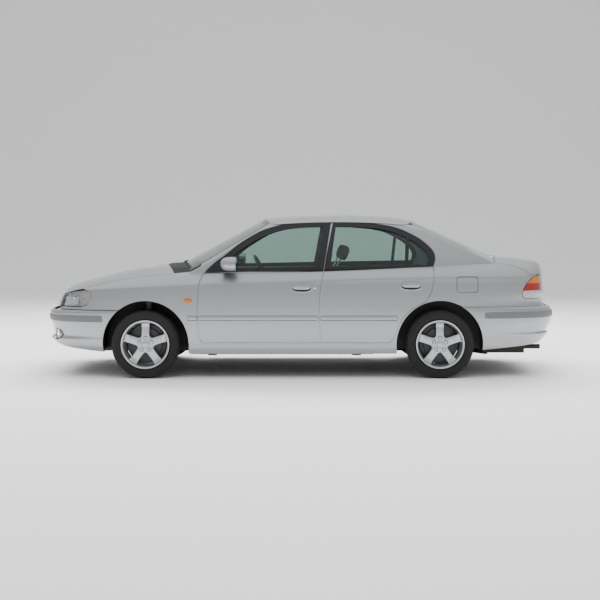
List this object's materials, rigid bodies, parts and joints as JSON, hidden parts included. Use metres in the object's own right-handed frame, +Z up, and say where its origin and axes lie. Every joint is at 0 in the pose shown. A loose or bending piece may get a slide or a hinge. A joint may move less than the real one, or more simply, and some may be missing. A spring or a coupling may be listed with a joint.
{
  "type": "four-door sedan car",
  "caption": "Silver four-door sedan with opening doors, bonnet, boot lid and fuel flap, steered front wheels and a furnished cabin.",
  "frame": {"origin": "on the ground under the middle of the car", "axes": "+X rearwards, +Y to the car's right, +Z up"},
  "size_m": [4.66, 1.983, 1.4624],
  "materials": {
    "silver_paint": "metallic silver, clear coat",
    "underbody_paint": "satin black underbody paint",
    "black_plastic": "grained black",
    "lamp_lens": "clear lamp cover",
    "red_lens": "red and amber lamp cover",
    "tinted_glass": "green-tinted glass",
    "cast_metal": "as cast",
    "exhaust_steel": "dull, heat stained",
    "dash_plastic": "grained dark grey",
    "seat_cloth": "woven dark grey cloth",
    "alloy": "silver lacquered cast alloy",
    "tyre_rubber": "black rubber"
  },
  "bodies": {
    "body": {"floor_pan": "underbody_paint", "body_side_left": "silver_paint", "body_side_right": "silver_paint", "roof_panel": "silver_paint", "front_wing_left": "silver_paint", "front_wing_right": "silver_paint", "front_bumper": "silver_paint", "rear_bumper": "silver_paint", "front_panel": "underbody_paint", "grille": "black_plastic", "headlamps": "lamp_lens", "tail_lamps": "red_lens", "fog_lamps": "lamp_lens", "windscreen": "tinted_glass", "rear_window": "tinted_glass", "cowl_panel": "black_plastic", "wheel_liners": "black_plastic", "engine_block": "cast_metal", "fuel_tank": "black_plastic", "exhaust": "exhaust_steel", "front_subframe": "underbody_paint", "rear_axle": "underbody_paint", "dashboard": "dash_plastic", "front_seats": "seat_cloth", "rear_seat": "seat_cloth", "parcel_shelf": "dash_plastic", "bumper_beams": "underbody_paint"},
    "bonnet": {"bonnet": "silver_paint"},
    "boot_lid": {"boot_lid": "silver_paint"},
    "fuel_flap": {"fuel_flap": "silver_paint"},
    "steering_wheel": {"steering_wheel": "black_plastic"},
    "front_door_left": {"front_door_left": "silver_paint", "front_glass_left": "tinted_glass", "mirror_left": "silver_paint"},
    "rear_door_left": {"rear_door_left": "silver_paint", "rear_glass_left": "tinted_glass"},
    "front_knuckle_left": {"front_knuckle_left": "underbody_paint"},
    "front_wheel_left": {"front_rim_left": "alloy", "front_tyre_left": "tyre_rubber"},
    "rear_wheel_left": {"rear_rim_left": "alloy", "rear_tyre_left": "tyre_rubber"},
    "front_door_right": {"front_door_right": "silver_paint", "front_glass_right": "tinted_glass", "mirror_right": "silver_paint"},
    "rear_door_right": {"rear_door_right": "silver_paint", "rear_glass_right": "tinted_glass"},
    "front_knuckle_right": {"front_knuckle_right": "underbody_paint"},
    "front_wheel_right": {"front_rim_right": "alloy", "front_tyre_right": "tyre_rubber"},
    "rear_wheel_right": {"rear_rim_right": "alloy", "rear_tyre_right": "tyre_rubber"}
  },
  "joints": [
    {"name": "front_door_left_hinge", "type": "hinge", "parent": "body", "child": "front_door_left", "pos_m": [-0.919, -0.845, 0.62], "axis": [0, 0, -1], "range_deg": [0, 65]},
    {"name": "rear_door_left_hinge", "type": "hinge", "parent": "body", "child": "rear_door_left", "pos_m": [0.161, -0.845, 0.62], "axis": [0, 0, -1], "range_deg": [0, 68]},
    {"name": "front_door_right_hinge", "type": "hinge", "parent": "body", "child": "front_door_right", "pos_m": [-0.919, 0.845, 0.62], "axis": [0, 0, 1], "range_deg": [0, 65]},
    {"name": "rear_door_right_hinge", "type": "hinge", "parent": "body", "child": "rear_door_right", "pos_m": [0.161, 0.845, 0.62], "axis": [0, 0, 1], "range_deg": [0, 68]},
    {"name": "bonnet_hinge", "type": "hinge", "parent": "body", "child": "bonnet", "pos_m": [-1.141, 0, 1], "axis": [0, 1, 0], "range_deg": [0, 52]},
    {"name": "boot_lid_hinge", "type": "hinge", "parent": "body", "child": "boot_lid", "pos_m": [1.753, 0, 1.075], "axis": [0, -1, 0], "range_deg": [0, 75]},
    {"name": "fuel_flap_hinge", "type": "hinge", "parent": "body", "child": "fuel_flap", "pos_m": [1.3865, -0.8245, 0.833], "axis": [0, 0, -1], "range_deg": [0, 80]},
    {"name": "steer_left", "type": "hinge", "parent": "body", "child": "front_knuckle_left", "pos_m": [-1.385, -0.655, 0.302], "axis": [0, 0, 1], "range_deg": [-33, 33]},
    {"name": "front_wheel_left_spin", "type": "hinge", "parent": "front_knuckle_left", "child": "front_wheel_left", "pos_m": [-1.385, -0.74, 0.302], "axis": [0, 1, 0], "continuous": true},
    {"name": "rear_wheel_left_spin", "type": "hinge", "parent": "body", "child": "rear_wheel_left", "pos_m": [1.235, -0.74, 0.302], "axis": [0, 1, 0], "continuous": true},
    {"name": "steer_right", "type": "hinge", "parent": "body", "child": "front_knuckle_right", "pos_m": [-1.385, 0.655, 0.302], "axis": [0, 0, 1], "range_deg": [-33, 33]},
    {"name": "front_wheel_right_spin", "type": "hinge", "parent": "front_knuckle_right", "child": "front_wheel_right", "pos_m": [-1.385, 0.74, 0.302], "axis": [0, 1, 0], "continuous": true},
    {"name": "rear_wheel_right_spin", "type": "hinge", "parent": "body", "child": "rear_wheel_right", "pos_m": [1.235, 0.74, 0.302], "axis": [0, 1, 0], "continuous": true},
    {"name": "steering_wheel_turn", "type": "hinge", "parent": "body", "child": "steering_wheel", "pos_m": [-0.347, -0.35, 0.923], "axis": [0.866, 0, 0.5], "range_deg": [-528, 528]}
  ],
  "couplings": [
    {"joint": "steer_right", "follows": "steer_left", "ratio": 1},
    {"joint": "steering_wheel_turn", "follows": "steer_left", "ratio": 16}
  ]
}
